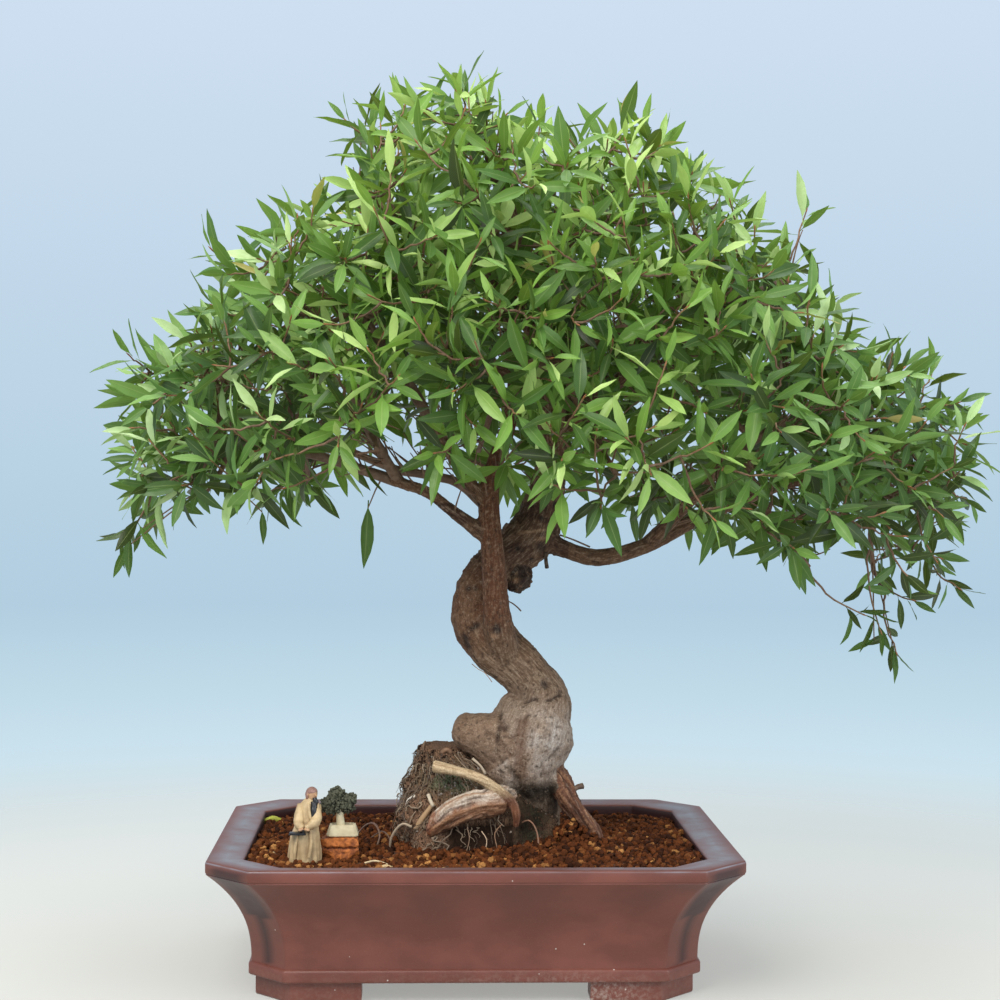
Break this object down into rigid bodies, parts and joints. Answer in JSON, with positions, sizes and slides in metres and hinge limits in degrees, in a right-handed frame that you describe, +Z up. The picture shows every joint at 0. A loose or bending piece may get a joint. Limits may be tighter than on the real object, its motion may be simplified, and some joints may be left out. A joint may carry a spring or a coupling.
{
  "type": "potted ficus neriifolia bonsai",
  "caption": "Willow-leaf ficus bonsai with a curved, bulging trunk and a wide canopy of narrow leaves, in a rectangular clay pot with cut corners, beside a small seated figurine.",
  "frame": {"origin": "on the ground, under the centre of the whole part's box", "axes": "+Z up from the ground, -Y out of the pot's front, +X to the right seen from the front, along the pot's length and towards the lower side of the canopy"},
  "size_m": [0.9204, 0.6008, 0.9283],
  "materials": {
    "clay": "satin",
    "mesh_plastic": "matte",
    "soil": "matte",
    "old_soil": "matte",
    "bark": "matte",
    "leaf": "satin",
    "robe_glaze": "satin",
    "rock_glaze": "matte",
    "cream_glaze": "satin",
    "dark_green_glaze": "matte"
  },
  "bodies": {
    "root": {"pot": "clay", "drain_screen_left": "mesh_plastic", "drain_screen_right": "mesh_plastic", "soil": "soil", "root_ball": "old_soil", "trunk_and_branches": "bark", "leafy_spray_01": "leaf", "leafy_spray_02": "leaf", "leafy_spray_03": "leaf", "leafy_spray_04": "leaf", "leafy_spray_05": "leaf", "leafy_spray_06": "leaf", "leafy_spray_07": "leaf", "leafy_spray_08": "leaf", "leafy_spray_09": "leaf", "leafy_spray_10": "leaf", "leafy_spray_11": "leaf", "leafy_spray_12": "leaf", "leafy_spray_13": "leaf", "leafy_spray_14": "leaf", "leafy_spray_15": "leaf", "leafy_spray_16": "leaf", "leafy_spray_17": "leaf", "leafy_spray_18": "leaf", "leafy_spray_19": "leaf", "leafy_spray_20": "leaf", "leafy_spray_21": "leaf", "leafy_spray_22": "leaf", "leafy_spray_23": "leaf", "leafy_spray_24": "leaf", "leafy_spray_25": "leaf", "leafy_spray_26": "leaf", "leafy_spray_27": "leaf", "leafy_spray_28": "leaf", "leafy_spray_29": "leaf", "leafy_spray_30": "leaf", "leafy_spray_31": "leaf", "leafy_spray_32": "leaf", "leafy_spray_33": "leaf", "leafy_spray_34": "leaf", "leafy_spray_35": "leaf", "leafy_spray_36": "leaf", "leafy_spray_37": "leaf", "leafy_spray_38": "leaf", "leafy_spray_39": "leaf", "leafy_spray_40": "leaf", "leafy_spray_41": "leaf", "leafy_spray_42": "leaf", "leafy_spray_43": "leaf", "leafy_spray_44": "leaf", "leafy_spray_45": "leaf", "scholar": "robe_glaze", "rock": "rock_glaze", "planter": "cream_glaze", "miniature_tree": "dark_green_glaze"}
  },
  "joints": []
}
